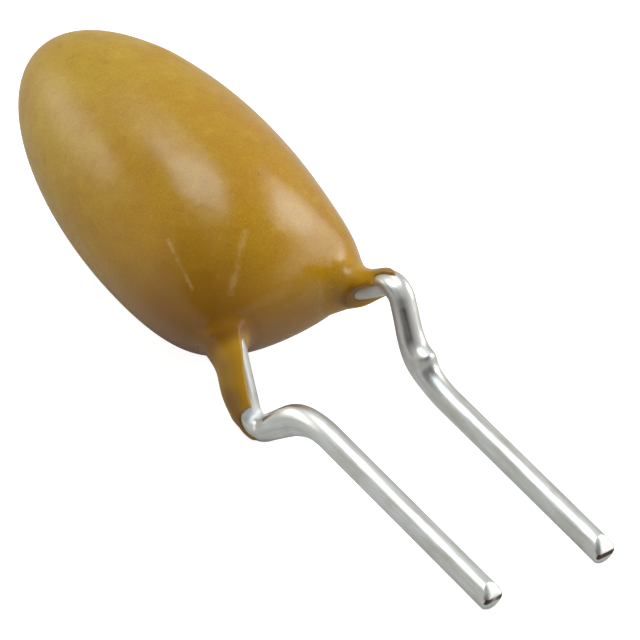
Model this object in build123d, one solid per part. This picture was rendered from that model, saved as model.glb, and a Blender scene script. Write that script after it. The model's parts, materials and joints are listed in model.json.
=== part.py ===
from build123d import *
from math import cos, hypot, radians, sin
from typing import NamedTuple
import os

# A dipped tantalum capacitor with two kinked radial leads, lying as it comes to rest.
# Lengths are in millimetres and angles in degrees.
#
# Every piece is made in an upright working frame: the origin is on the ridge of the
# coating, midway between the leads, +Z runs towards the lead tips and +X towards the
# anode lead. The last section turns the finished pieces together so that they lie on
# the ground plane, with the tips towards +X and +Z up.

# ---- Leads: round tinned wire ----
wire_diameter = 0.5
lead_spacing = 2.75
anode_lead_reach = 7.34         # from the ridge to the tip
cathode_lead_reach = 7.18
tip_bevel_length = 0.36         # of the bevel that the cutter left on the upper side of a tip
tip_bevel_drop = 0.27           # how far the bevel comes down across the end of the wire

# ---- Kink in each lead, out of the plane of the leads and to opposite sides ----
anode_kink_root = 0.22          # how deep under the ridge the kink starts
anode_kink_depth = 1.36         # corner of the centreline, out of the plane of the leads
anode_kink_apex = 0.95          # height of that corner above the ridge
anode_kink_end = 2.11           # height of the corner where the wire turns straight again
anode_end_bend_radius = 1.9
cathode_kink_root = 0.2
cathode_kink_depth = 1.39
cathode_kink_apex = 0.98
cathode_kink_end = 2.03
cathode_end_bend_radius = 1.2
root_bend_radius = 0.5
apex_bend_radius = 0.35

# ---- Epoxy coating ----
bead_diameter = 4.34
crown_height = 4.74             # from the widest section to the rounded top
shoulder_height = 3.19          # from the widest section to the ridge between the leads
ridge_squareness = 5            # 2 would be an ellipse, more keeps the ridge full to its ends
ridge_flat_angle = 84           # where the rounded shoulder ends in the narrow flat of the ridge
shoulder_sections = 8
bead_offset = 0.06              # of the bead from the middle of the leads, towards the anode
bead_lean = 2.9                 # of the top towards the anode side

# ---- Resin that climbs each lead, on its side facing the bead ----
collar_radius = 0.43            # where it leaves the bead
sleeve_radius = 0.3             # where the collar has narrowed to a sleeve
sleeve_end_radius = 0.27
sleeve_offset = 0.07            # of the sleeve from the wire's centre, so that the wire's front is bare
sleeve_turn = 35                # of that offset, from straight back at the bead to the outer side
collar_reach = 0.9              # along the sloping wire, from the start of the kink
anode_sleeve_reach = 1.3
cathode_sleeve_reach = 1.4

# ---- Anode pellet and the riser wire pressed into it ----
pellet_diameter = 2.4
pellet_length = 3.2
pellet_cover = 1.45             # from the ridge down to the pellet's riser face
pellet_edge = 0.12              # chamfer round its far end
riser_diameter = 0.25
riser_embedding = 1.2
riser_height = 0.75             # out of the pellet
washer_diameter = 1.6
washer_thickness = 0.1

# ---- Coats on the pellet, from the inside out ----
manganese_thickness = 0.06
graphite_thickness = 0.04
silver_thickness = 0.05
graphite_margin = 0.12          # bare strip below the riser face
silver_margin = 0.25

# ---- Joints inside ----
weld_gap = 0.05                 # between the riser wire and the anode lead
weld_radius = 0.2
weld_depth = 0.4                # of the weld's centre under the riser wire's end
jog_bend_radius = 0.35
washer_clearance = 0.06         # from the anode lead's inner end to the washer
solder_gap = 0.05               # between the cathode lead and the silver coat
solder_radius = 0.42
solder_length = 2.1
solder_inset = 0.35             # of the solder from the coat's far end
cathode_lead_inset = 0.15       # of the cathode lead's inner end from the coat's far end

# ---- Lying down ----
contact_tolerance = 0.002       # of the facets on which the three resting points are found
contact_rounds = 12

# ---- Worked out ----
wire_radius = wire_diameter / 2
lead_x = lead_spacing / 2
bead_radius = bead_diameter / 2
pellet_radius = pellet_diameter / 2
coat_thickness = manganese_thickness + graphite_thickness + silver_thickness
coated_radius = pellet_radius + coat_thickness
pellet_x = -lead_x + wire_radius + solder_gap + coated_radius
riser_face_z = -pellet_cover
far_face_z = riser_face_z - pellet_length
coat_end_z = far_face_z - coat_thickness
riser_end_z = riser_face_z + riser_height
weld_x = pellet_x + riser_diameter / 2 + weld_gap / 2
anode_inner_x = weld_x + weld_gap / 2 + wire_radius
anode_inner_z = riser_face_z + washer_thickness + washer_clearance
cathode_inner_z = coat_end_z + cathode_lead_inset


class Kink(NamedTuple):
    """The bends that take a lead out to one side: 1 for the anode lead, -1 for the cathode lead."""

    side: int
    root: float
    depth: float
    apex: float
    end: float
    end_bend_radius: float


anode_kink = Kink(
    side=1,
    root=anode_kink_root,
    depth=anode_kink_depth,
    apex=anode_kink_apex,
    end=anode_kink_end,
    end_bend_radius=anode_end_bend_radius,
)
cathode_kink = Kink(
    side=-1,
    root=cathode_kink_root,
    depth=cathode_kink_depth,
    apex=cathode_kink_apex,
    end=cathode_kink_end,
    end_bend_radius=cathode_end_bend_radius,
)


def wire_along(points, radii, diameter):
    """A round wire whose centreline runs through the points, with a bend at each inner one."""
    path = FilletPolyline(*points, radius=radii)
    section = Plane(origin=path @ 0, z_dir=path % 0) * Circle(diameter / 2)
    return sweep(section, path=path)


def tip_cutter(x, reach):
    """What the cutter's jaw takes off the upper side of a tip."""
    bevel = Polyline(
        (wire_radius, reach - tip_bevel_length),
        (wire_radius, reach),
        (wire_radius - tip_bevel_drop, reach),
        close=True,
    )
    return Pos(x, 0, 0) * extrude(Plane.YZ * make_face(bevel), amount=wire_diameter, both=True)


def lead(kink, inner_points, inner_radii, reach):
    """A lead with its kink, from the inner points to its tip."""
    x = kink.side * lead_x
    kinked_points = [
        (x, 0, -kink.root),
        (x, kink.side * kink.depth, kink.apex),
        (x, 0, kink.end),
        (x, 0, reach),
    ]
    radii = inner_radii + [root_bend_radius, apex_bend_radius, kink.end_bend_radius]
    return wire_along(inner_points + kinked_points, radii, wire_diameter) - tip_cutter(x, reach)


def anode_lead_solid():
    """Inside the coating this lead jogs over to the riser wire and runs along it."""
    jog_run = lead_x - anode_inner_x
    inner_points = [
        (anode_inner_x, 0, anode_inner_z),
        (anode_inner_x, 0, -anode_kink.root - jog_run),
    ]
    return lead(anode_kink, inner_points, [jog_bend_radius], anode_lead_reach)


def cathode_lead_solid():
    """Inside the coating this lead runs straight down the side of the coated pellet."""
    inner_points = [(-lead_x, 0, cathode_inner_z)]
    return lead(cathode_kink, inner_points, [], cathode_lead_reach)


def pellet_form(growth, margin):
    """The pellet grown by a coat's outer distance, stopping a margin short of its riser face."""
    length = pellet_length + growth - margin
    body = Cylinder(pellet_radius + growth, length, align=(Align.CENTER, Align.CENTER, Align.MAX))
    placed = Pos(pellet_x, 0, riser_face_z - margin) * body
    return chamfer(placed.edges().group_by(Axis.Z)[0], pellet_edge)


def riser_form():
    length = riser_embedding + riser_height
    wire = Cylinder(riser_diameter / 2, length, align=(Align.CENTER, Align.CENTER, Align.MAX))
    return Pos(pellet_x, 0, riser_end_z) * wire


def washer_form():
    disc = Cylinder(
        washer_diameter / 2, washer_thickness, align=(Align.CENTER, Align.CENTER, Align.MIN)
    )
    return Pos(pellet_x, 0, riser_face_z) * disc


def solder_form():
    """A fillet of solder along the cathode lead, filling its corner with the silver coat."""
    stick = Cylinder(
        solder_radius, solder_length, align=(Align.CENTER, Align.CENTER, Align.MIN)
    )
    rounded = fillet(stick.edges(), solder_radius / 2)
    return Pos(-lead_x + wire_radius, 0, coat_end_z + solder_inset) * rounded


def bead_form():
    """A rounded crown over a shoulder that closes to a ridge along X, between the leads."""
    ball = scale(Sphere(bead_radius), by=(1, 1, crown_height / bead_radius))
    half_space = Box(
        bead_diameter * 2,
        bead_diameter * 2,
        crown_height * 2,
        align=(Align.CENTER, Align.CENTER, Align.MAX),
    )
    crown = ball & half_space
    sections = []
    for index in range(shoulder_sections + 1):
        angle = radians(ridge_flat_angle) * index / shoulder_sections
        half_length = bead_radius * (1 - sin(angle) ** ridge_squareness) ** (1 / ridge_squareness)
        half_width = bead_radius * cos(angle)
        sections.append(Pos(0, 0, shoulder_height * sin(angle)) * Ellipse(half_length, half_width))
    bead = crown + loft(sections)
    upright = Pos(0, 0, -shoulder_height) * bead
    return Pos(bead_offset, 0, 0) * Rot(0, -bead_lean, 0) * upright


def sleeve_form(kink, sleeve_reach):
    """Resin drawn up one lead: a collar narrowing to a sleeve with a rounded end."""
    rise = kink.apex + kink.root
    slope = hypot(rise, kink.depth)
    along = Vector(0, kink.side * kink.depth / slope, rise / slope)
    to_bead = Vector(0, kink.side * rise / slope, -kink.depth / slope)
    outward = Vector(kink.side, 0, 0)
    shift = to_bead * cos(radians(sleeve_turn)) + outward * sin(radians(sleeve_turn))
    start = Vector(kink.side * lead_x, 0, -kink.root) + shift * sleeve_offset
    on_base = (Align.CENTER, Align.CENTER, Align.MIN)
    collar = Cone(collar_radius, sleeve_radius, collar_reach, align=on_base)
    taper = Cone(sleeve_radius, sleeve_end_radius, sleeve_reach - collar_reach, align=on_base)
    end = Pos(0, 0, sleeve_reach) * Sphere(sleeve_end_radius)
    sleeve = collar + Pos(0, 0, collar_reach) * taper + end
    return Plane(origin=start, x_dir=(1, 0, 0), z_dir=along) * sleeve


# ---- The pieces in the working frame ----
anode_lead = anode_lead_solid()
cathode_lead = cathode_lead_solid()
riser_wire = riser_form()
pellet_body = pellet_form(0, 0)
anode_pellet = pellet_body - riser_wire
insulating_washer = washer_form() - riser_wire

manganese_body = pellet_form(manganese_thickness, 0)
manganese_dioxide_layer = manganese_body - pellet_body
graphite_body = pellet_form(manganese_thickness + graphite_thickness, graphite_margin)
graphite_layer = graphite_body - manganese_body
silver_body = pellet_form(coat_thickness, silver_margin)
silver_layer = silver_body - graphite_body - manganese_body

riser_weld = Pos(weld_x, 0, riser_end_z - weld_depth) * Sphere(weld_radius)
riser_weld = riser_weld - riser_wire - anode_lead
cathode_solder = solder_form() - cathode_lead - silver_body

epoxy_coating = bead_form()
epoxy_coating = epoxy_coating + sleeve_form(anode_kink, anode_sleeve_reach)
epoxy_coating = epoxy_coating + sleeve_form(cathode_kink, cathode_sleeve_reach)
for filling in (
    manganese_body,
    graphite_body,
    silver_body,
    washer_form(),
    riser_wire,
    riser_weld,
    cathode_solder,
    anode_lead,
    cathode_lead,
):
    epoxy_coating = epoxy_coating - filling

pieces = {
    "epoxy_coating": epoxy_coating,
    "anode_lead": anode_lead,
    "cathode_lead": cathode_lead,
    "anode_pellet": anode_pellet,
    "riser_wire": riser_wire,
    "riser_weld": riser_weld,
    "insulating_washer": insulating_washer,
    "manganese_dioxide_layer": manganese_dioxide_layer,
    "graphite_layer": graphite_layer,
    "silver_layer": silver_layer,
    "cathode_solder": cathode_solder,
}


# ---- Lying down: on the bead, the cathode lead's kink and the anode lead's tip ----
def facet_corners(solid):
    return solid.tessellate(contact_tolerance)[0]


def resting_up_direction():
    """The upward normal of the plane that touches the bead and both leads from below."""
    outlines = [facet_corners(solid) for solid in (epoxy_coating, cathode_lead, anode_lead)]
    up = Vector(0, 1, 0)
    for _ in range(contact_rounds):
        bead_point, kink_point, tip_point = [
            min(corners, key=lambda corner: corner.dot(up)) for corners in outlines
        ]
        up = (kink_point - bead_point).cross(tip_point - bead_point).normalized()
        if up.Y < 0:
            up = up * -1
    return up


up = resting_up_direction()
towards_tips = (Vector(0, 0, 1) - up * up.Z).normalized()
lying = Plane(origin=(0, 0, 0), x_dir=towards_tips, z_dir=up).location.inverse()
box = Compound([lying * piece for piece in pieces.values()]).bounding_box()
centre = box.center()
placing = Pos(-centre.X, -centre.Y, -box.min.Z) * lying

os.makedirs("parts", exist_ok=True)
for name, piece in pieces.items():
    export_step(placing * piece, f"parts/{name}.step")
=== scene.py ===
"""Looks of the dipped tantalum capacitor: its resin bead, its tinned leads and the studio round it.

Shapes are in millimetres in the part's working frame, where the origin is on the ridge of the
coating midway between the leads, +Z runs towards the lead tips, +X towards the anode lead and
+Y faces away from the floor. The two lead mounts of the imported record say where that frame
lies, and Working.to_world turns its millimetres into metres of the row frame.
"""

import json
from itertools import product
from math import atan2, cos, hypot, pi, radians, sin, tan

import bmesh
import bpy
import numpy as np
from mathutils import Matrix, Vector

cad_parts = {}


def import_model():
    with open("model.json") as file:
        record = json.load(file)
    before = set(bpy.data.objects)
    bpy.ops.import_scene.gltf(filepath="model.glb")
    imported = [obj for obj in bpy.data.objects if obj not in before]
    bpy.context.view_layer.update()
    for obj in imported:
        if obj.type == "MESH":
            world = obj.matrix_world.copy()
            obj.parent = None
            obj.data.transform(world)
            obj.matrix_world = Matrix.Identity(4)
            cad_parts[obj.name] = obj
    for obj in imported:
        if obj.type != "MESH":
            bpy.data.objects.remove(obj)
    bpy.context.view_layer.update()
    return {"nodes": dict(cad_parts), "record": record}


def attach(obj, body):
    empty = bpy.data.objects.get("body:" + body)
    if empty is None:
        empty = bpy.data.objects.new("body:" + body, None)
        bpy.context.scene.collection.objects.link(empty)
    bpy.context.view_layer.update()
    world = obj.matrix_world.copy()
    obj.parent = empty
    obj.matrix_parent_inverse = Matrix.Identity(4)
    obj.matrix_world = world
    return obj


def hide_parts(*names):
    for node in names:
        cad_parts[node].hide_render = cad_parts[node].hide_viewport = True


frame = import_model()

MM = 0.001

# ---- Dimensions of the construction ----
WIRE_RADIUS = 0.25
TIP_BEVEL_LENGTH = 0.36
TIP_BEVEL_HEIGHT = 0.27
ROOT_BEND_RADIUS = 0.5
APEX_BEND_RADIUS = 0.35
JOG_BEND_RADIUS = 0.35
BEAD_RADIUS = 2.17
CROWN_HEIGHT = 4.74
SHOULDER_HEIGHT = 3.19
RIDGE_SQUARENESS = 5
BEAD_OFFSET = 0.06
BEAD_LEAN = radians(2.9)


class Kink:
    """How a lead is kinked: to one side of the leads' plane, out to a corner and back."""

    def __init__(self, side, root, depth, apex, end, end_radius):
        self.side = side
        self.root = root
        self.depth = depth
        self.apex = apex
        self.end = end
        self.end_radius = end_radius
        self.straight_start = end + end_radius * tan(atan2(depth, end - apex) / 2)


ANODE_KINK = Kink(1, root=0.22, depth=1.36, apex=0.95, end=2.11, end_radius=1.9)
CATHODE_KINK = Kink(-1, root=0.2, depth=1.39, apex=0.98, end=2.03, end_radius=1.2)


# ---- Where the working frame lies ----
class Working:
    """The working frame, read from the two pins that the record gives for the lead ends."""

    def __init__(self, record):
        mounts = {mount["name"]: mount for mount in record["mounts"]}
        anode, cathode = mounts["anode_lead_end"], mounts["cathode_lead_end"]
        along = np.array(anode["axis"])
        apart = (np.array(anode["pos_m"]) - np.array(cathode["pos_m"])) / MM
        apart -= along * (apart @ along)
        self.spacing = float(np.linalg.norm(apart))
        across = apart / self.spacing
        self.axes = np.array([across, np.cross(along, across), along])
        middle = ANODE_KINK.straight_start + anode["dims"]["length_mm"] / 2
        anode_middle = np.array([self.spacing / 2, 0, middle])
        self.origin = np.array(anode["pos_m"]) / MM - anode_middle @ self.axes
        reaches = []
        for kink, mount in ((ANODE_KINK, anode), (CATHODE_KINK, cathode)):
            reaches.append(kink.straight_start + mount["dims"]["length_mm"] + TIP_BEVEL_LENGTH)
        self.anode_reach, self.cathode_reach = reaches

    def to_world(self, points):
        """Working millimetres to metres of the row frame."""
        return (np.asarray(points) @ self.axes + self.origin) * MM

    def from_world(self, points):
        """Metres of the row frame to working millimetres."""
        return (np.asarray(points) / MM - self.origin) @ self.axes.T

    def turned(self, directions):
        """Working directions to directions of the row frame."""
        return np.asarray(directions) @ self.axes


working = Working(frame["record"])


class Lead:
    """One lead's own numbers: its kink and its reach."""

    def __init__(self, node, kink, reach):
        self.node = node
        self.kink = kink
        self.side = kink.side
        self.x = kink.side * working.spacing / 2
        self.reach = reach


ANODE = Lead("anode_lead", ANODE_KINK, working.anode_reach)
CATHODE = Lead("cathode_lead", CATHODE_KINK, working.cathode_reach)


# ---- Smooth mathematics ----
def smooth_step(low, high, value):
    share = np.clip((value - low) / (high - low), 0, 1)
    return share * share * (3 - 2 * share)


def smooth_union(first, second, reach):
    """The union of two distance fields, with a fillet of about the given reach between them."""
    near = np.clip(0.5 + 0.5 * (second - first) / reach, 0, 1)
    return second * (1 - near) + first * near - reach * near * (1 - near)


def through(knots, value):
    """A smooth curve through (position, value) pairs, flat past both ends."""
    places = np.array([knot[0] for knot in knots], float)
    heights = np.array([knot[1] for knot in knots], float)
    slopes = np.gradient(heights, places)
    slopes[[0, -1]] = 0
    index = np.clip(np.searchsorted(places, value) - 1, 0, len(knots) - 2)
    span = places[index + 1] - places[index]
    t = np.clip((value - places[index]) / span, 0, 1)
    return (
        heights[index] * (1 + 2 * t) * (1 - t) ** 2
        + slopes[index] * span * t * (1 - t) ** 2
        + heights[index + 1] * t * t * (3 - 2 * t)
        + slopes[index + 1] * span * t * t * (t - 1)
    )


def gradient(field, points, step=1e-3):
    slopes = []
    for axis in np.eye(3) * step:
        slopes.append((field(points + axis) - field(points - axis)) / (2 * step))
    return np.stack(slopes, -1)


def settle(field, points, rounds=5, longest=0.05):
    """Moves points onto the zero level of a field along its gradient."""
    for _ in range(rounds):
        slope = gradient(field, points)
        steepness = np.maximum((slope**2).sum(-1), 1e-6)
        move = -field(points)[:, None] * slope / steepness[:, None]
        length = np.linalg.norm(move, axis=-1, keepdims=True)
        points = points + move * np.minimum(1, longest / np.maximum(length, 1e-9))
    return points


# ---- Centrelines ----
def rounded_line(corners, radii, spacing):
    """Points and tangents, evenly spaced, along straight runs joined by tangent arcs."""
    corners = [np.array(corner, float) for corner in corners]
    points, tangents = [], []

    def add(samples, directions):
        points.extend(samples)
        tangents.extend(directions)

    start = corners[0]
    for index, radius in enumerate(radii, start=1):
        before = corners[index] - corners[index - 1]
        after = corners[index + 1] - corners[index]
        before, after = before / np.linalg.norm(before), after / np.linalg.norm(after)
        turn = np.arccos(before @ after)
        arc_start = corners[index] - before * radius * tan(turn / 2)
        length = np.linalg.norm(arc_start - start)
        count = max(2, int(round(length / spacing)))
        add([start + (arc_start - start) * k / count for k in range(count)], [before] * count)
        side = (after - before * cos(turn)) / sin(turn)
        count = max(4, int(round(radius * turn / spacing)))
        for k in range(count):
            angle = turn * k / count
            points.append(arc_start + radius * (before * sin(angle) + side * (1 - cos(angle))))
            tangents.append(before * cos(angle) + side * sin(angle))
        start = corners[index] + after * radius * tan(turn / 2)
    length = np.linalg.norm(corners[-1] - start)
    count = max(2, int(round(length / spacing)))
    add([start + (corners[-1] - start) * k / count for k in range(count + 1)], [after] * (count + 1))
    return np.array(points), np.array(tangents)


def kink_corners(lead):
    kink = lead.kink
    return [
        (lead.x, 0, -kink.root),
        (lead.x, kink.side * kink.depth, kink.apex),
        (lead.x, 0, kink.end),
    ]


def distances_along(points):
    return np.concatenate([[0], np.cumsum(np.linalg.norm(np.diff(points, axis=0), axis=1))])


# ---- Resin: the bead, and what climbs each lead ----
RIDGE_START = 0.965             # share of the shoulder from where its section keeps its length
RIDGE_SOFTNESS = 0.04
SKIN_INSET = 0.003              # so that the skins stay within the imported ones
SWELLINGS = (
    # place in the bead's own frame, width, height
    ((1.0, 0, 3.15), 0.4, 0.015),
    ((1.8, 0.55, 2.5), 0.5, 0.05),
    ((0.65, 1.75, -2.56), 0.33, 0.03),
)
FILM_EDGE = 0.12                # width over which a film's edge rises to its thickness
FILM_SINK = 0.06                # how far the resin's skin passes under bare metal
FILM_LEAD_IN = 0.6              # how far inside the bead a film's centreline starts
FILM_SPACING = 0.02             # between the points of that line
FILM_BOX = 1.0                  # how far round a lead's kink its film is looked for
FILM_BOTTOM, FILM_TOP = -1.3, 2.2       # and between which heights
THICK = 0.3                     # resin over a lead through which none of the wire shows
ROOT_ZONE = 0.3                 # before and past a lead's root, over which that sets in


def bead_local(points):
    """Working coordinates to the bead's own: upright, with its widest section at height zero."""
    x = points[:, 0] - BEAD_OFFSET
    y, z = points[:, 1], points[:, 2]
    upright_x = x * cos(BEAD_LEAN) + z * sin(BEAD_LEAN)
    upright_z = -x * sin(BEAD_LEAN) + z * cos(BEAD_LEAN) + SHOULDER_HEIGHT
    return upright_x, y, upright_z


def bead_field(points):
    """About the distance from the skin: an ellipsoid crown over a shoulder that closes to a ridge."""
    x, y, z = bead_local(points)
    height = np.where(z < 0, z / CROWN_HEIGHT, z / SHOULDER_HEIGHT)
    past = height - RIDGE_START
    up = np.maximum(height - (past + np.hypot(past, RIDGE_SOFTNESS)) / 2, 0)
    narrowing = (1 - up**2) / (1 - up**RIDGE_SQUARENESS) ** (2 / RIDGE_SQUARENESS)
    level = (x / BEAD_RADIUS) ** 2 * narrowing + (y / BEAD_RADIUS) ** 2 + height**2
    root = np.sqrt(np.maximum(level, 1e-9))
    along = np.where(z < 0, CROWN_HEIGHT, SHOULDER_HEIGHT)
    steepness = np.sqrt((x**2 * narrowing**2 + y**2) / BEAD_RADIUS**4 + (height / along) ** 2)
    distance = (root - 1) * root / np.maximum(steepness, 1e-3) + SKIN_INSET
    for place, width, rise in SWELLINGS:
        apart = (x - place[0]) ** 2 + (y - place[1]) ** 2 + (z - place[2]) ** 2
        distance = distance - rise * np.exp(-apart / (2 * width**2))
    return distance


class Film:
    """The resin drawn up a lead. Angles round the wire run from its front, which faces away
    from the bead, and are positive towards the other lead."""

    def __init__(self, lead, front, back, end, window, fillets):
        self.lead = lead
        self.front = front      # thickness at distances along the wire, on its front
        self.back = back        # and on its back
        self.end = end          # where the film ends, at degrees away from the front
        self.window = window    # bare oval: middle and half size along, and round in degrees
        self.fillets = fillets  # reach of the fillet with the bead, in front and behind
        root, apex, end_corner = [np.array(corner) for corner in kink_corners(lead)]
        slope = (apex - root) / np.linalg.norm(apex - root)
        straight = (lead.x, 0, lead.kink.straight_start + FILM_SPACING)
        line = [root - slope * FILM_LEAD_IN, apex, end_corner, straight]
        points, tangents = rounded_line(line, [APEX_BEND_RADIUS, lead.kink.end_radius], FILM_SPACING)
        self.points, self.tangents = points[:, 1:], tangents[:, 1:]
        self.reached = distances_along(points) - FILM_LEAD_IN

    def section(self, points):
        """Distance along the wire and out from its centreline, and the angle round it."""
        flat = points[:, 1:]
        apart = ((flat[:, None, :] - self.points[None]) ** 2).sum(-1)
        nearest = apart.argmin(1)
        away = flat - self.points[nearest]
        tangent = self.tangents[nearest]
        ahead = (away * tangent).sum(-1)
        side = self.lead.side
        backwards = side * (away[:, 0] * tangent[:, 1] - away[:, 1] * tangent[:, 0])
        outwards = side * (points[:, 0] - self.lead.x)
        angle = np.arctan2(-outwards, -backwards)
        return self.reached[nearest] + ahead, np.hypot(outwards, backwards), angle

    def field(self, points):
        """About the distance from the film's skin, and its fillet with the bead."""
        along, out, angle = self.section(points)
        back_share = 0.5 - 0.5 * np.cos(angle)
        front, back = through(self.front, along), through(self.back, along)
        thickness = front * (1 - back_share) + back * back_share
        from_end = through(self.end, np.degrees(np.abs(angle))) - along
        middle, half, turn, half_turn = self.window
        round_window = (angle - radians(turn)) / radians(half_turn)
        from_window = np.hypot((along - middle) / half, round_window) - 1
        from_window = from_window * min(half, WIRE_RADIUS * radians(half_turn))
        covered = smooth_step(0, FILM_EDGE, np.minimum(from_end, from_window))
        level = thickness * covered - FILM_SINK * (1 - covered)
        fillet = self.fillets[0] * (1 - back_share) + self.fillets[1] * back_share
        return out - WIRE_RADIUS - level, fillet


FILMS = (
    Film(
        ANODE,
        front=((-0.6, -0.3), (-0.2, 0.08), (0.2, 0.11), (1, 0.1), (1.4, 0.05), (1.8, 0.02)),
        back=((-0.6, -0.3), (-0.1, 0.22), (0.3, 0.13), (0.8, 0.07), (1.5, 0.016)),
        end=((0, 1.9), (30, 1.85), (60, 1.62), (95, 1.5), (140, 1.52), (180, 1.7)),
        window=(1.13, 0.38, 38, 42),
        fillets=(0.12, 0.6),
    ),
    Film(
        CATHODE,
        front=((-0.6, -0.3), (-0.2, -0.04), (0.1, 0.05), (0.6, 0.055), (1.4, 0.04)),
        back=(
            (-0.6, -0.3), (-0.2, 0.08), (0, 0.13), (0.6, 0.165), (1.1, 0.165), (1.45, 0.08), (1.6, 0.02),
        ),
        end=((0, 1.36), (50, 1.4), (75, 1.5), (100, 1.75), (125, 2.0), (145, 1.85), (180, 1.62)),
        window=(1.15, 1.0, 45, 48),
        fillets=(0.22, 0.45),
    ),
)


def resin_field(points):
    """About the distance from the whole coating's skin."""
    distance = bead_field(points)
    for film in FILMS:
        lead = film.lead
        bent_to = lead.side * lead.kink.depth
        low = np.array([lead.x - FILM_BOX, min(0, bent_to) - FILM_BOX, FILM_BOTTOM])
        high = np.array([lead.x + FILM_BOX, max(0, bent_to) + FILM_BOX, FILM_TOP])
        near = ((points > low) & (points < high)).all(-1)
        if near.any():
            skin, fillet = film.field(points[near])
            distance[near] = smooth_union(distance[near], skin, fillet)
    return distance


def thinness(points):
    """How thin the resin is over a lead: 1 where there is next to none, 0 from THICK on."""
    thin = np.zeros(len(points))
    for film in FILMS:
        lead = film.lead
        near = (np.abs(points[:, 0] - lead.x) < FILM_BOX) & (points[:, 2] > -FILM_BOX)
        near &= (points[:, 1] * lead.side > -FILM_BOX)
        along, out, angle = film.section(points[near])
        over = 1 - smooth_step(0, THICK, out - WIRE_RADIUS)
        thin[near] = np.maximum(thin[near], over * smooth_step(-ROOT_ZONE, ROOT_ZONE, along))
    return thin


# ---- Meshes ----
def isosurface(field, low, high, step):
    """Vertices and quads round a field's zero level, one vertex to each grid cell that it crosses."""
    axes = [np.arange(low[k], high[k] + step, step) for k in range(3)]
    grid = np.stack(np.meshgrid(*axes, indexing="ij"), -1)
    inside = (field(grid.reshape(-1, 3)) < 0).reshape(grid.shape[:3])
    cells = tuple(n - 1 for n in inside.shape)
    corners = []
    for i, j, k in product((0, 1), repeat=3):
        corners.append(inside[i:i + cells[0], j:j + cells[1], k:k + cells[2]])
    crossed = np.any(corners, 0) & ~np.all(corners, 0)
    number = np.full(cells, -1)
    number[crossed] = np.arange(crossed.sum())
    vertices = grid[:-1, :-1, :-1][crossed] + step / 2
    quads = []
    for axis in range(3):
        others = [k for k in range(3) if k != axis]
        first = np.take(inside, range(cells[axis]), axis)
        second = np.take(inside, range(1, cells[axis] + 1), axis)
        for leaving in (True, False):
            edges = np.argwhere((first != second) & (first == leaving))
            ring = []
            for a, b in ((0, 0), (1, 0), (1, 1), (0, 1)):
                cell = edges.copy()
                cell[:, others[0]] -= a
                cell[:, others[1]] -= b
                ring.append(number[tuple(cell.T)])
            ring = np.stack(ring, -1)
            quads.append(ring if leaving == (axis != 1) else ring[:, ::-1])
    return vertices, np.concatenate(quads)


def relaxed(vertices, quads, field, rounds=4):
    """Evens out a mesh along its surface."""
    edges = np.concatenate([quads[:, [k, (k + 1) % 4]] for k in range(4)])
    edges = np.concatenate([edges, edges[:, ::-1]])
    count = np.bincount(edges[:, 0], minlength=len(vertices))[:, None]
    for _ in range(rounds):
        total = np.zeros_like(vertices)
        for axis in range(3):
            total[:, axis] = np.bincount(edges[:, 0], vertices[edges[:, 1], axis], len(vertices))
        vertices = settle(field, (vertices + total / count) / 2, rounds=2)
    return vertices


def new_piece(name, vertices, faces, material):
    mesh = bpy.data.meshes.new(name)
    mesh.from_pydata(working.to_world(vertices).tolist(), [], faces)
    mesh.materials.append(material)
    piece = bpy.data.objects.new(name, mesh)
    bpy.context.scene.collection.objects.link(piece)
    return piece


def keep_values(piece, name, values):
    """Stores a number at each vertex for the material."""
    attribute = piece.data.attributes.new(name, "FLOAT", "POINT")
    attribute.data.foreach_set("value", np.asarray(values, np.float32))


def keep_vectors(piece, name, vectors):
    """Stores a vector at each vertex for the material."""
    attribute = piece.data.attributes.new(name, "FLOAT_VECTOR", "POINT")
    attribute.data.foreach_set("vector", np.asarray(vectors, np.float32).ravel())


def shade_by(piece, directions):
    """Smooth shading with exact normals, given as working directions."""
    mesh = piece.data
    mesh.polygons.foreach_set("use_smooth", [True] * len(mesh.polygons))
    mesh.normals_split_custom_set_from_vertices(working.turned(directions).tolist())


RESIN_LOW, RESIN_HIGH = np.array([-2.5, -2.4, -8.3]), np.array([2.5, 2.4, 2.2])
RESIN_STEP = 0.075
FINE_CUTS = 2                   # how often the mesh is divided in the fine zone
FINE_ZONE_START = -0.75         # along the part, from where the resin's mesh is divided further
FINE_ZONE_HALF_WIDTH = 0.62     # to the sides of a lead


def resin_piece(material):
    """One closed mesh of the bead and both sleeves, divided more finely where the resin is thin."""
    vertices, quads = isosurface(resin_field, RESIN_LOW, RESIN_HIGH, RESIN_STEP)
    vertices = relaxed(settle(resin_field, vertices), quads, resin_field)
    work = bmesh.new()
    for place in vertices:
        work.verts.new(place)
    work.verts.ensure_lookup_table()
    for quad in quads:
        work.faces.new([work.verts[index] for index in quad])
    for _ in range(FINE_CUTS):
        fine = []
        for edge in work.edges:
            place = (edge.verts[0].co + edge.verts[1].co) / 2
            beside = min(abs(place.x - ANODE.x), abs(place.x - CATHODE.x))
            if place.z > FINE_ZONE_START and beside < FINE_ZONE_HALF_WIDTH:
                fine.append(edge)
        bmesh.ops.subdivide_edges(work, edges=fine, cuts=1, use_grid_fill=True)
    work.verts.index_update()
    vertices = settle(resin_field, np.array([vertex.co for vertex in work.verts]))
    faces = [[vertex.index for vertex in face.verts] for face in work.faces]
    work.free()
    piece = new_piece("resin_bead", vertices, faces, material)
    shade_by(piece, gradient(resin_field, vertices))
    keep_values(piece, "thin", thinness(vertices))
    return piece


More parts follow.
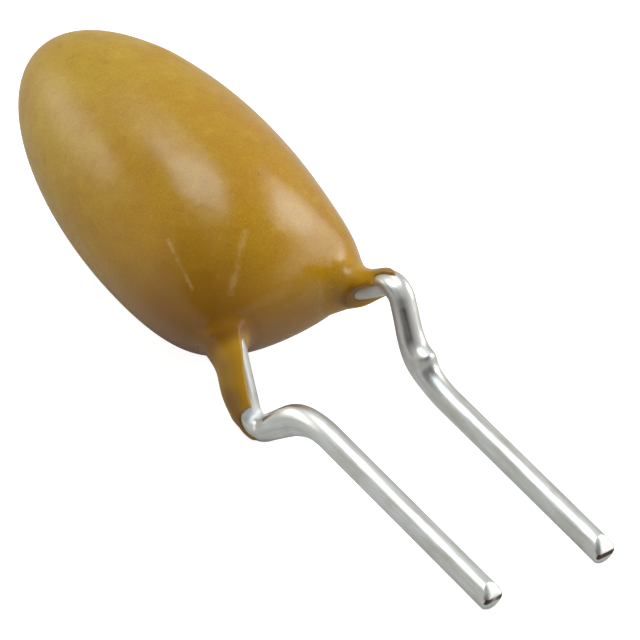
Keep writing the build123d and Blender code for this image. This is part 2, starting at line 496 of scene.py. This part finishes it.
# ---- Leads ----
DRAWN_RADIUS = WIRE_RADIUS - SKIN_INSET
RINGS_APART = 0.03
SIDES = 96
TIP_ZONE = 0.7                  # of a lead, where its rings come to follow the slanted cut
CAP_RINGS = (
    # shares of the radius, from the rim to the middle
    0.99, 0.975, 0.96, 0.94, 0.92, 0.89, 0.86, 0.82, 0.78, 0.73, 0.68,
    0.62, 0.56, 0.5, 0.44, 0.38, 0.32, 0.26, 0.2, 0.14, 0.08, 0.03,
)
BEVEL_SLOPE = TIP_BEVEL_LENGTH / TIP_BEVEL_HEIGHT
BEVEL_EDGES = {"anode_lead": 0.075, "cathode_lead": 0.105}     # its lower edge's height in the section
CUT_SOFTNESS = 0.02             # of the edge between the bevel and the end
TIP_INSET = 0.012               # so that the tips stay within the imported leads' reach
RIM_ROUNDING = 0.08
RIM_START = 0.6                 # share of the radius from which the cut's rim is rounded
CORE_BAND = 0.115               # height of the bare core that shows below the bevel's lower edge
CORE_SOFTNESS = 0.02
CORE_RIM = (0.86, 0.97)         # shares of the radius between which tin takes over from the core
CORE_SMEARED = {"anode_lead": 0, "cathode_lead": 0.5}           # how far tin hides it in the middle
SMEAR_WIDTH = 0.5               # share of the radius to both sides of the middle
MARKS = {
    # on each lead: height above the ridge, degrees round from +X towards +Y, length, breadth in
    # degrees, and rise of the skin
    "anode_lead": (
        (2.08, 103, 0.12, 32, 0.12),
        (2.02, 223, 0.3, 60, 0.05),
        (2.1, 65, 0.16, 40, 0.025),
        (1.5, 143, 0.22, 6, -0.06),
        (0.9, 112, 0.22, 22, -0.035),
        (0.9, 160, 0.22, 22, 0.03),
    ),
    "cathode_lead": (
        (0.87, 115, 0.16, 42, -0.025),
        (1.19, 155, 0.1, 22, -0.03),
        (1.75, 43, 0.3, 60, 0.03),
    ),
}
FLATTENED = {
    # on each lead: height above the ridge, length, and widening across the leads' plane
    "anode_lead": (1.5, 0.25, -0.06),
    "cathode_lead": (1.85, 0.28, 0.17),
}


def skin_radius(lead, height, angle):
    """The wire's radius, with the marks that the bending tool left."""
    place, length, widening = FLATTENED[lead.node]
    share = np.exp(-(((height - place) / length) ** 2) / 2)
    wider = widening * np.sin(angle) ** 2 - widening / 3 * np.cos(angle) ** 2
    radius = DRAWN_RADIUS * (1 + share * wider)
    for place, middle, length, breadth, rise in MARKS[lead.node]:
        turn = (angle - radians(middle) + pi) % (2 * pi) - pi
        away = ((height - place) / length) ** 2 + (turn / radians(breadth)) ** 2
        radius = radius + rise * np.exp(-away / 2)
    return radius


def cut_height(lead, across, up):
    """How far along the lead its cut end lies, over a place in its section."""
    over = up - BEVEL_EDGES[lead.node]
    over = (over + np.hypot(over, CUT_SOFTNESS)) / 2
    out = np.hypot(across, up) / WIRE_RADIUS
    rounding = RIM_ROUNDING * np.clip((out - RIM_START) / (1 - RIM_START), 0, 1) ** 3
    return lead.reach - TIP_INSET - over * BEVEL_SLOPE - rounding


def lead_normals(piece, lead, vertices, cap):
    """The mesh's own normals, and exact ones on the cut end."""
    normals = np.zeros(len(vertices) * 3)
    piece.data.vertex_normals.foreach_get("vector", normals)
    normals = normals.reshape(-1, 3) @ working.axes.T
    across, up = vertices[cap, 0] - lead.x, vertices[cap, 1]
    step = 1e-4
    slope_across = cut_height(lead, across + step, up) - cut_height(lead, across - step, up)
    slope_up = cut_height(lead, across, up + step) - cut_height(lead, across, up - step)
    exact = np.stack([-slope_across, -slope_up, np.full(len(cap), 2 * step)], -1)
    normals[cap] = exact / np.linalg.norm(exact, axis=-1, keepdims=True)
    return normals


def inner_corners(lead):
    """The corners inside the bead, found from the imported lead's inner end."""
    mesh = frame["nodes"][lead.node].data
    places = working.from_world([vertex.co for vertex in mesh.vertices])
    end = places[places[:, 2] < places[:, 2].min() + WIRE_RADIUS / 10].mean(0)
    corners = [(end[0], 0, places[:, 2].min())]
    if abs(end[0] - lead.x) > WIRE_RADIUS:
        corners.append((end[0], 0, -lead.kink.root - abs(lead.x - end[0])))
    return corners


def body_rings(lead, angles):
    """Untwisted rings of a lead's skin, from its inner end to where its tip's zone starts."""
    inside = inner_corners(lead)
    corners = inside + kink_corners(lead) + [(lead.x, 0, lead.reach - TIP_ZONE)]
    radii = [JOG_BEND_RADIUS] * (len(inside) - 1)
    radii += [ROOT_BEND_RADIUS, APEX_BEND_RADIUS, lead.kink.end_radius]
    points, tangents = rounded_line(corners, radii, RINGS_APART)
    sideways = np.zeros_like(points)
    direction = np.array([1.0, 0, 0])
    for index in range(len(points) - 1, -1, -1):
        direction = direction - tangents[index] * (direction @ tangents[index])
        direction /= np.linalg.norm(direction)
        sideways[index] = direction
    upwards = np.cross(tangents, sideways)
    radius = skin_radius(lead, points[:, 2:], angles[None])
    return points[:, None] + radius[..., None] * (
        np.cos(angles)[None, :, None] * sideways[:, None]
        + np.sin(angles)[None, :, None] * upwards[:, None]
    )


def tip_rings(lead, across, up):
    """Rings that come to follow the slanted cut, and then rings that close over it."""
    body_end = lead.reach - TIP_ZONE
    rim = cut_height(lead, across, up)
    count = int(round(TIP_ZONE / RINGS_APART))
    rings = []
    for k in range(1, count + 1):
        heights = body_end + (rim - body_end) * k / count
        rings.append(np.stack([lead.x + across, up, heights], -1))
    for share in CAP_RINGS:
        heights = cut_height(lead, across * share, up * share)
        rings.append(np.stack([lead.x + across * share, up * share, heights], -1))
    return np.array(rings)


def tube_faces(count):
    """The quads between that many rings, and a face over each end."""
    faces = []
    for ring in range(count - 1):
        here, there = ring * SIDES, (ring + 1) * SIDES
        for k in range(SIDES):
            after = (k + 1) % SIDES
            faces.append((here + k, here + after, there + after, there + k))
    faces.append(tuple(range(SIDES))[::-1])
    faces.append(tuple((count - 1) * SIDES + k for k in range(SIDES)))
    return faces


def bare_core(lead, vertices):
    """How bare the wire's core is: only in a band of its cut tip, below the bevel's lower edge."""
    tip = slice(-(len(CAP_RINGS) + 2) * SIDES, None)
    across, up = vertices[tip, 0] - lead.x, vertices[tip, 1]
    high = BEVEL_EDGES[lead.node]
    low = high - CORE_BAND
    core = smooth_step(low - CORE_SOFTNESS, low + CORE_SOFTNESS, up)
    core *= 1 - smooth_step(high - CORE_SOFTNESS, high + CORE_SOFTNESS, up)
    core *= 1 - smooth_step(*CORE_RIM, np.hypot(across, up) / WIRE_RADIUS)
    core *= 1 - CORE_SMEARED[lead.node] * np.exp(-((across / (SMEAR_WIDTH * WIRE_RADIUS)) ** 2))
    shares = np.zeros(len(vertices))
    shares[tip] = core
    return shares


def lead_piece(lead, name, material):
    """One lead as a tube of rings, closed by its cut tip."""
    angles = np.arange(SIDES) * 2 * pi / SIDES
    across, up = DRAWN_RADIUS * np.cos(angles), DRAWN_RADIUS * np.sin(angles)
    rings = np.concatenate([body_rings(lead, angles), tip_rings(lead, across, up)])
    count = len(rings)
    vertices = rings.reshape(-1, 3)
    piece = new_piece(name, vertices, tube_faces(count), material)
    cap = np.arange((count - len(CAP_RINGS)) * SIDES, count * SIDES)
    shade_by(piece, lead_normals(piece, lead, vertices, cap))
    along = distances_along(rings.mean(1))
    drawn = np.stack([np.tile(across, count), np.tile(up, count), np.repeat(along, SIDES)], -1)
    drawn[cap] = vertices[cap]
    keep_vectors(piece, "drawn", drawn)
    keep_values(piece, "bare_core", bare_core(lead, vertices))
    return piece


# ---- Materials ----
class Graph:
    """A node tree with short ways to add to it. Each input is a socket or a constant."""

    def __init__(self, tree):
        self.tree = tree

    def feed(self, socket, value):
        if isinstance(value, bpy.types.NodeSocket):
            self.tree.links.new(value, socket)
        else:
            socket.default_value = value

    def add(self, kind, inputs, **settings):
        node = self.tree.nodes.new("ShaderNode" + kind)
        for name, value in settings.items():
            setattr(node, name, value)
        for place, value in inputs.items():
            self.feed(node.inputs[place], value)
        return node

    def math(self, operation, *values):
        """One arithmetic step on sockets or constants."""
        return self.add("Math", dict(enumerate(values)), operation=operation).outputs[0]

    def remap(self, value, low, high, to_low=0.0, to_high=1.0):
        """Goes smoothly from one value to another while the input goes from low to high."""
        inputs = {"Value": value, "From Min": low, "From Max": high, "To Min": to_low, "To Max": to_high}
        return self.add("MapRange", inputs, interpolation_type="SMOOTHSTEP").outputs["Result"]

    def noise(self, place, scale, detail=2.0, roughness=0.5):
        """Noise with about that many swells to a millimetre."""
        inputs = {"Vector": place, "Scale": scale, "Detail": detail, "Roughness": roughness}
        return self.add("TexNoise", inputs).outputs[0]

    def dot(self, vector, direction):
        inputs = {0: vector, 1: tuple(direction)}
        return self.add("VectorMath", inputs, operation="DOT_PRODUCT").outputs["Value"]

    def stretch(self, vector, factors):
        return self.add("VectorMath", {0: vector, 1: factors}, operation="MULTIPLY").outputs[0]

    def blend(self, share, first, second):
        """The first colour, covered by the second to the given share."""
        return self.add("Mix", {0: share, 6: first, 7: second}, data_type="RGBA").outputs[2]

    def bump(self, height, strength, distance, normal=None):
        inputs = {"Height": height, "Strength": strength, "Distance": distance * MM}
        if normal is not None:
            inputs["Normal"] = normal
        return self.add("Bump", inputs).outputs[0]

    def place(self):
        """The place on the part, in millimetres."""
        spot = self.add("TexCoord", {}).outputs["Object"]
        return self.add("VectorMath", {0: spot, "Scale": 1 / MM}, operation="SCALE").outputs[0]

    def kept(self, name, output="Fac"):
        return self.add("Attribute", {}, attribute_name=name).outputs[output]


def new_material(name, **values):
    """A Principled material with constant values on the shader's own sockets."""
    material = bpy.data.materials.new(name)
    material.use_nodes = True
    shader = material.node_tree.nodes["Principled BSDF"]
    for socket, value in values.items():
        shader.inputs[socket.replace("_", " ")].default_value = value
    return material, Graph(material.node_tree), shader


def opaque(red, green, blue):
    """A colour with its alpha."""
    return (red, green, blue, 1.0)


# Each of these marks has both ends of its line in the working frame, its half width and strength.
HIGHLIGHT_STREAKS = (
    # two faint pale streaks painted on the coating as highlights
    ((-1.69, 1.03, -2.05), (-1.79, 0.67, -1.1), 0.06, 0.32),
    ((-0.68, 1.55, -1.2), (-1.31, 0.82, -0.59), 0.11, 0.24),
)
LEAD_RESIN_SHADES = (
    # painted shade on the resin along the leads, where it is darkest
    ((-1.65, -0.8, 0.45), (-1.65, -1.25, 0.95), 0.35, 0.75),
    ((-1.75, -0.3, 0.1), (-1.72, -0.8, 0.5), 0.32, 0.4),
    ((1.09, 0.3, 0.25), (1.05, 0.6, 0.32), 0.38, 0.75),
    ((1.05, 0.65, 0.36), (1.05, 0.95, 0.55), 0.2, 0.6),
)
CREASE_SHADES = (
    # painted shade in the creases of the leads' bends: a soft shadow and a darker core on the anode lead, a
    # dark line on the cathode lead
    ((1.19, 1.18, 1.34), (1.17, 0.6, 1.84), 0.16, 0.5),
    ((1.19, 1.05, 1.44), (1.17, 0.64, 1.81), 0.1, 0.75),
    ((-1.54, -0.75, 1.23), (-1.41, -0.3, 1.5), 0.07, 0.8),
)
MATT_HIGHLIGHTS = (
    # rougher places on the leads, painted near-white as highlights on the anode's knob and the cathode's
    # apex
    ((1.3, 0.49, 2.15), (1.3, 0.46, 2.18), 0.18, 1.0),
    ((-1.56, -0.95, 0.83), (-1.3, -0.94, 0.97), 0.2, 1.0),
)
SCRAPED = ((1.21, 1.27, 1.22), (1.26, 0.66, 1.88), 0.24, 1.0)   # by the bending tool


def mark(graph, place, start, end, half_width, strength):
    """The strength on the line between two working points, falling to 0 at the half width from it."""
    first, last = [Vector(point / MM) for point in working.to_world([start, end])]
    along = last - first
    from_first = graph.add("VectorMath", {0: place, 1: tuple(first)}, operation="SUBTRACT").outputs[0]
    share = graph.dot(from_first, along / along.length_squared)
    share = graph.math("MINIMUM", graph.math("MAXIMUM", share, 0.0), 1.0)
    nearest = graph.add("VectorMath", {0: tuple(along), "Scale": share}, operation="SCALE").outputs[0]
    apart = graph.add("VectorMath", {0: from_first, 1: nearest}, operation="DISTANCE").outputs["Value"]
    return graph.remap(apart, half_width, 0.0, 0.0, strength)


def clouded_level(graph, place, direction, cloud, wander):
    """How far a place lies along a working direction from its origin, shifted about by a cloud."""
    turned = working.turned(direction)
    shift = graph.math("MULTIPLY_ADD", cloud, wander, -float(working.origin @ turned) - wander / 2)
    return graph.math("ADD", graph.dot(place, turned), shift)


CROWN_OCHRE = opaque(0.475, 0.283, 0.013)
# towards the lead end the coating is painted browner, as painted shade
LEAD_END_SHADE_OCHRE = opaque(0.455, 0.223, 0.004)
OCHRE_FROM, OCHRE_TO = -6.5, -2.0       # heights between which the one turns into the other
OCHRE_LAYERS = (
    # pattern, its values where the layer starts and is full, how far it covers, colour
    ("patches", 0.45, 0.7, 0.45, opaque(0.42, 0.185, 0.005)),
    ("mottle", 0.52, 0.75, 0.3, opaque(0.62, 0.38, 0.05)),
    ("mottle", 0.48, 0.25, 0.55, opaque(0.36, 0.17, 0.008)),
    ("grain", 0.5, 0.72, 0.4, opaque(0.64, 0.39, 0.03)),
    ("grain", 0.5, 0.28, 0.45, opaque(0.3, 0.14, 0.002)),
)
SHADE_DIRECTION = (-1, -0.3, 1)        # working direction in which painted shade turns the coating brown: towards the cathode lead, the lead ends and a little towards the floor
SHADE_FROM, SHADE_TO = -1.4, 1.1
# colour of that painted shade where it is fullest
UNDERSIDE_SHADE_BROWN = opaque(0.25, 0.1, 0.001)
SPECK_RADIUS = 0.075            # in cells of the pattern that scatters the specks
SPECK_BROWN = opaque(0.12, 0.07, 0.015)
# pale colour of the painted highlight streaks
STREAK_HIGHLIGHT_PALE = opaque(0.8, 0.6, 0.3)
THIN_LAYERS = (
    # the same, with the resin's thinness as the pattern
    (0.1, 0.8, 0.85, opaque(0.55, 0.28, 0.012)),
    # the darkest layer, where the resin thins out at a film's edge, is painted shade along that rim
    (0.97, 1.0, 0.6, opaque(0.16, 0.07, 0.01)),
)
# colour of the painted shade on the resin along the leads
LEAD_RESIN_SHADE_BROWN = opaque(0.2, 0.08, 0.004)


def resin_material():
    """Ochre epoxy, browner towards the leads and where it is thin over metal. The browning towards the lead
    end, the underside and along the leads, and the dark rims of its films, are painted shade; two pale
    streaks on it are painted highlights.
    """
    material, graph, shader = new_material("ochre_resin", IOR=1.5, Specular_IOR_Level=0.5)
    place = graph.place()
    cloud = graph.noise(place, 0.55, detail=3.0)
    height = clouded_level(graph, place, (0, 0, 1), cloud, wander=3.0)
    # Browner towards the lead end: painted shade.
    base = graph.blend(graph.remap(height, OCHRE_FROM, OCHRE_TO), CROWN_OCHRE, LEAD_END_SHADE_OCHRE)
    patterns = {
        "patches": graph.noise(place, 1.1, detail=3.0, roughness=0.6),
        "mottle": graph.noise(place, 3.5, detail=4.0, roughness=0.6),
        "grain": graph.noise(place, 30.0, detail=2.0, roughness=0.7),
    }
    for name, start, full, most, colour in OCHRE_LAYERS:
        base = graph.blend(graph.remap(patterns[name], start, full, 0.0, most), base, colour)
    # Painted shade: browner towards the underside and the leads.
    brown = graph.remap(clouded_level(graph, place, SHADE_DIRECTION, cloud, wander=1.2), SHADE_FROM, SHADE_TO)
    base = graph.blend(brown, base, UNDERSIDE_SHADE_BROWN)

    cell = graph.add("TexVoronoi", {"Vector": place, "Scale": 1.3}).outputs["Distance"]
    dot = graph.remap(cell, SPECK_RADIUS, 0.4 * SPECK_RADIUS)
    speck = graph.math("MULTIPLY", dot, graph.remap(graph.noise(place, 0.8), 0.5, 0.6, 0.0, 0.6))
    base = graph.blend(speck, base, SPECK_BROWN)
    # Two pale streaks, broken up by the grain and the mottle, are painted highlights.
    for *line, strength in HIGHLIGHT_STREAKS:
        painted_streak = mark(graph, place, *line, 1.0)
        grained = graph.remap(patterns["grain"], 0.3, 0.6, 0.3 * strength, strength)
        broken = graph.remap(patterns["mottle"], 0.4, 0.55, 0.3)
        painted_streak = graph.math("MULTIPLY", graph.math("MULTIPLY", painted_streak, grained), broken)
        base = graph.blend(painted_streak, base, STREAK_HIGHLIGHT_PALE)

    thin = graph.kept("thin")
    for start, full, most, colour in THIN_LAYERS:
        base = graph.blend(graph.remap(thin, start, full, 0.0, most), base, colour)
    # Painted shade on the resin along the leads.
    for line in LEAD_RESIN_SHADES:
        base = graph.blend(mark(graph, place, *line), base, LEAD_RESIN_SHADE_BROWN)
    graph.feed(shader.inputs["Base Color"], base)

    uneven = graph.remap(graph.noise(place, 1.6, detail=3.0), 0.3, 0.7, -0.04, 0.04)
    glossier = graph.remap(height, -5.5, -2.2, 0.37, 0.2)
    graph.feed(shader.inputs["Roughness"], graph.math("ADD", glossier, uneven))
    waves = graph.bump(graph.noise(place, 0.9, detail=1.0), strength=0.6, distance=0.05)
    peel = graph.bump(graph.noise(place, 4.0), strength=0.25, distance=0.02, normal=waves)
    pores = graph.bump(patterns["grain"], strength=0.2, distance=0.006, normal=peel)
    graph.feed(shader.inputs["Normal"], pores)
    return material


TIN_DULL, TIN_BRIGHT = opaque(0.7, 0.69, 0.63), opaque(0.82, 0.815, 0.79)
TIN_BLOTCHED = opaque(0.6, 0.57, 0.47)
TIN_SCRAPED = opaque(0.5, 0.455, 0.43)
# near-white of the painted highlights on the matt spots
TIN_HIGHLIGHT_WHITE = opaque(0.95, 0.95, 0.96)
# colour of the painted shade in the creases of the leads' bends
CREASE_SHADE_BROWN = opaque(0.04, 0.02, 0.01)
CORE_BROWN = opaque(0.07, 0.026, 0.012)
STREAK_SCALES = (14.0, 14.0, 0.7)       # across and along the wire
DENT_SCALES = (3.0, 3.0, 1.3)


def wire_material():
    """Drawn and tinned wire, dark brown where a tip is cut through to its core, with painted shade in the
    creases of its bends and painted highlights on two matt spots.
    """
    material, graph, shader = new_material("tinned_wire")
    place = graph.place()
    drawn = graph.kept("drawn", "Vector")
    streaks = graph.noise(graph.stretch(drawn, STREAK_SCALES), 1.0, detail=4.0, roughness=0.6)
    base = graph.blend(graph.remap(streaks, 0.35, 0.65), TIN_DULL, TIN_BRIGHT)
    blotches = graph.remap(graph.noise(drawn, 2.5, detail=3.0), 0.45, 0.7, 0.0, 0.4)
    base = graph.blend(blotches, base, TIN_BLOTCHED)
    scraped = mark(graph, place, *SCRAPED)
    base = graph.blend(graph.math("MULTIPLY", scraped, 0.8), base, TIN_SCRAPED)
    # Painted shade in the creases of the bends.
    for line in CREASE_SHADES:
        base = graph.blend(mark(graph, place, *line), base, CREASE_SHADE_BROWN)

    ragged = graph.math("MULTIPLY_ADD", graph.noise(drawn, 12.0), 0.5, -0.25)
    core = graph.remap(graph.math("ADD", graph.kept("bare_core"), ragged), 0.2, 0.8)
    rough = graph.remap(streaks, 0.3, 0.7, 0.34, 0.42)
    rough = graph.math("MULTIPLY_ADD", core, 0.2, rough)
    rough = graph.math("MULTIPLY_ADD", scraped, 0.3, rough)
    # Rougher spots, painted near-white as highlights.
    for line in MATT_HIGHLIGHTS:
        highlight_spot = mark(graph, place, *line)
        base = graph.blend(highlight_spot, base, TIN_HIGHLIGHT_WHITE)
        rough = graph.math("MULTIPLY_ADD", highlight_spot, 0.35, rough)
    graph.feed(shader.inputs["Base Color"], graph.blend(core, base, CORE_BROWN))
    metallic = graph.math("MULTIPLY_ADD", scraped, -0.6, graph.math("MULTIPLY_ADD", core, -0.7, 1.0))
    graph.feed(shader.inputs["Metallic"], metallic)
    graph.feed(shader.inputs["Roughness"], rough)
    dents = graph.noise(graph.stretch(drawn, DENT_SCALES), 1.0)
    dents = graph.bump(dents, strength=0.5, distance=0.03)
    lines = graph.bump(streaks, strength=0.15, distance=0.01, normal=dents)
    graph.feed(shader.inputs["Normal"], lines)
    return material


def grained_material(name, dark, light, grain_size, metallic, roughness, depth):
    """A plain finish of grains: their two colours, size, metalness, roughness range and relief."""
    material, graph, shader = new_material(name, Metallic=metallic)
    place = graph.place()
    grains = graph.noise(place, 1 / grain_size, detail=3.0, roughness=0.6)
    patches = graph.noise(place, 0.2 / grain_size)
    both = graph.math("MULTIPLY_ADD", patches, 0.5, graph.math("MULTIPLY", grains, 0.5))
    base = graph.blend(graph.remap(both, 0.35, 0.65), opaque(*dark), opaque(*light))
    graph.feed(shader.inputs["Base Color"], base)
    graph.feed(shader.inputs["Roughness"], graph.remap(grains, 0.3, 0.7, *roughness))
    graph.feed(shader.inputs["Normal"], graph.bump(grains, strength=0.6, distance=depth))
    return material


INNER_FINISHES = {
    # node: two colours, grain size, metalness, roughness range, relief
    "anode_pellet": ((0.045, 0.045, 0.055), (0.12, 0.12, 0.13), 0.05, 0.3, (0.6, 0.9), 0.02),
    "riser_wire": ((0.2, 0.21, 0.25), (0.3, 0.31, 0.35), 0.08, 1.0, (0.25, 0.4), 0.002),
    "riser_weld": ((0.2, 0.18, 0.16), (0.45, 0.43, 0.4), 0.1, 1.0, (0.35, 0.6), 0.02),
    "insulating_washer": ((0.78, 0.78, 0.76), (0.88, 0.88, 0.87), 0.2, 0.0, (0.4, 0.55), 0.003),
    "manganese_dioxide_layer": ((0.004, 0.004, 0.005), (0.016, 0.014, 0.013), 0.06, 0.0, (0.75, 0.95), 0.02),
    "graphite_layer": ((0.012, 0.012, 0.014), (0.035, 0.035, 0.038), 0.12, 0.2, (0.5, 0.7), 0.008),
    "silver_layer": ((0.42, 0.42, 0.4), (0.6, 0.6, 0.58), 0.07, 1.0, (0.45, 0.65), 0.01),
    "cathode_solder": ((0.32, 0.33, 0.34), (0.5, 0.51, 0.52), 0.25, 1.0, (0.22, 0.42), 0.02),
}


# ---- Studio ----
def direction_of(azimuth, elevation):
    """The unit vector at an azimuth from +X towards +Y and an elevation above the floor."""
    a, e = radians(azimuth), radians(elevation)
    return Vector((cos(a) * cos(e), sin(a) * cos(e), sin(e)))


LAMP_AIM = (0, 0, -1.5)         # working place that the lamps aim at
LAMP_DISTANCE = 0.12
BLUE_LACKS = (0.35, 0.12, 0)    # of its red, green and blue, what a fully blue lamp lacks
LAMPS = (
    # name, azimuth, elevation, size across and up, radiance, turn, how blue
    ("overhead_box", -148, 72, (0.07, 0.09), 1.5, -46, 0),
    ("overhead_core", -109, 76, (0.086, 0.052), 3.0, 59, 0.8),
    ("right_box", 63, 29, (0.07, 0.095), 2.3, 0, 0),
    ("right_core", 63, 34, (0.037, 0.047), 2.7, 0, 0.6),
    ("left_box", -150, 14, (0.085, 0.052), 2.7, 0, 0),
    ("left_core", -145, 17, (0.04, 0.028), 1.5, 0, 0.6),
    ("right_fill", 36, 13, (0.05, 0.04), 0.9, 0, 0),
)


def soft_box(name, azimuth, elevation, size, radiance, turn, blue):
    """A rectangular lamp aimed at the part, with its strength given as the radiance of its face."""
    lamp = bpy.data.lights.new(name, "AREA")
    lamp.shape = "RECTANGLE"
    lamp.size, lamp.size_y = size
    lamp.color = [1 - lack * blue for lack in BLUE_LACKS]
    lamp.energy = radiance * size[0] * size[1] * pi
    direction = direction_of(azimuth, elevation)
    place = Vector(working.to_world(LAMP_AIM)) + direction * LAMP_DISTANCE
    aimed = direction.to_track_quat("Z", "Y").to_matrix().to_4x4()
    lamp_object = bpy.data.objects.new(name, lamp)
    lamp_object.matrix_world = Matrix.Translation(place) @ aimed @ Matrix.Rotation(radians(turn), 4, "Z")
    bpy.context.scene.collection.objects.link(lamp_object)


CAMERA_PIVOT = (0, 0, -0.14)    # working place that the camera stands off from
CAMERA_AZIMUTH, CAMERA_ELEVATION, CAMERA_ROLL = -48.49, 33.81, 9.5
CAMERA_DISTANCE = 0.1
CAMERA_SHIFT = (0.609, -0.052)  # of its aim from the pivot, to the right and up
FOCAL_LENGTH, SENSOR_WIDTH = 303.75, 36


def camera():
    """Looks down on the part from its anode side, slightly rolled, through a long lens."""
    data = bpy.data.cameras.new("camera")
    data.lens, data.sensor_width = FOCAL_LENGTH, SENSOR_WIDTH
    data.clip_start, data.clip_end = 0.005, 10
    toward = direction_of(CAMERA_AZIMUTH, CAMERA_ELEVATION)
    pivot = Vector(working.to_world(CAMERA_PIVOT))
    level = Vector((0, 0, 1)).cross(toward).normalized()
    right = Matrix.Rotation(radians(CAMERA_ROLL), 3, toward) @ level
    up = toward.cross(right)
    aim = pivot + (right * CAMERA_SHIFT[0] + up * CAMERA_SHIFT[1]) * MM
    place = pivot + toward * CAMERA_DISTANCE
    back = (place - aim).normalized()
    right = up.cross(back).normalized()
    up = back.cross(right)
    camera_object = bpy.data.objects.new("camera", data)
    rotation = Matrix((right, up, back)).transposed().to_4x4()
    camera_object.matrix_world = Matrix.Translation(place) @ rotation
    bpy.context.scene.collection.objects.link(camera_object)
    bpy.context.scene.camera = camera_object


def seen_directly(graph):
    """Whether a ray shows the background: to the camera, and in metal or through glass."""
    path = graph.add("LightPath", {})
    mirrored = graph.math("MAXIMUM", path.outputs["Is Glossy Ray"], path.outputs["Is Transmission Ray"])
    return path.outputs["Is Camera Ray"], mirrored


FLOOR_SIZE = 3
FLOOR_GREY = opaque(0.5, 0.5, 0.5)
FLOOR_GLOW = 0.9                # the floor's own light, for the camera
FLOOR_GLOW_REFLECTED = 0.03     # and in reflections
WORLD_SIDE = (55, 45)           # azimuth and elevation of the side from which it lights most
LIGHT_SPREAD = 0.9              # cosine of the angle from that side at which it lights most
WORLD_DARK, WORLD_BRIGHT = 0.03, 0.6
REFLECTED_SIDE = (-32, 20)      # and of the side that is dark in reflections
REFLECTED_EDGE = (0.2, 0.65)    # cosines of the angle from it between which that dark fades
REFLECTED_DARK, REFLECTED_BRIGHT = 0.12, 0.54


def floor():
    """A pale sheet under the part, white to the camera but for the part's shadow."""
    bpy.ops.mesh.primitive_plane_add(size=FLOOR_SIZE, location=(0, 0, 0))
    plane = bpy.context.object
    plane.name = "floor"
    material, graph, shader = new_material("paper", Base_Color=FLOOR_GREY, Roughness=0.9)
    camera_ray, in_mirrors = seen_directly(graph)
    strength = graph.math("MULTIPLY", camera_ray, FLOOR_GLOW)
    strength = graph.math("MULTIPLY_ADD", in_mirrors, FLOOR_GLOW_REFLECTED, strength)
    glow = graph.add("Emission", {"Strength": strength})
    both = graph.add("AddShader", {0: shader.outputs[0], 1: glow.outputs[0]})
    graph.feed(material.node_tree.nodes["Material Output"].inputs["Surface"], both.outputs[0])
    plane.data.materials.append(material)


def world():
    """White to the camera. It lights the part most from one side, and is dark in reflections at one."""
    surroundings = bpy.data.worlds.new("surroundings")
    surroundings.use_nodes = True
    graph = Graph(surroundings.node_tree)
    background = surroundings.node_tree.nodes["Background"]
    background.inputs["Color"].default_value = opaque(1, 1, 1)
    direction = graph.add("TexCoord", {}).outputs["Generated"]
    towards_light = graph.dot(direction, direction_of(*WORLD_SIDE))
    lighting = graph.remap(towards_light, -LIGHT_SPREAD, LIGHT_SPREAD, WORLD_DARK, WORLD_BRIGHT)
    towards_dark = graph.dot(direction, direction_of(*REFLECTED_SIDE))
    reflected = graph.remap(towards_dark, *REFLECTED_EDGE, REFLECTED_BRIGHT, REFLECTED_DARK)
    camera_ray, in_mirrors = seen_directly(graph)
    level = graph.math("MULTIPLY_ADD", in_mirrors, graph.math("SUBTRACT", reflected, lighting), lighting)
    graph.feed(background.inputs["Strength"], graph.math("MAXIMUM", level, camera_ray))
    bpy.context.scene.world = surroundings


# ---- Putting it together ----
bead = resin_piece(resin_material())
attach(bead, "root")
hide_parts("epoxy_coating")

wire = wire_material()
for lead, name in ((ANODE, "anode_wire"), (CATHODE, "cathode_wire")):
    piece = lead_piece(lead, name, wire)
    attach(piece, "root")
    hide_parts(lead.node)

for node, finish in INNER_FINISHES.items():
    material = grained_material(node + "_finish", *finish)
    for material_slot in frame["nodes"][node].material_slots:
        material_slot.material = material

camera()
floor()
world()
for lamp in LAMPS:
    soft_box(*lamp)

bpy.context.scene.view_settings.view_transform = "Standard"
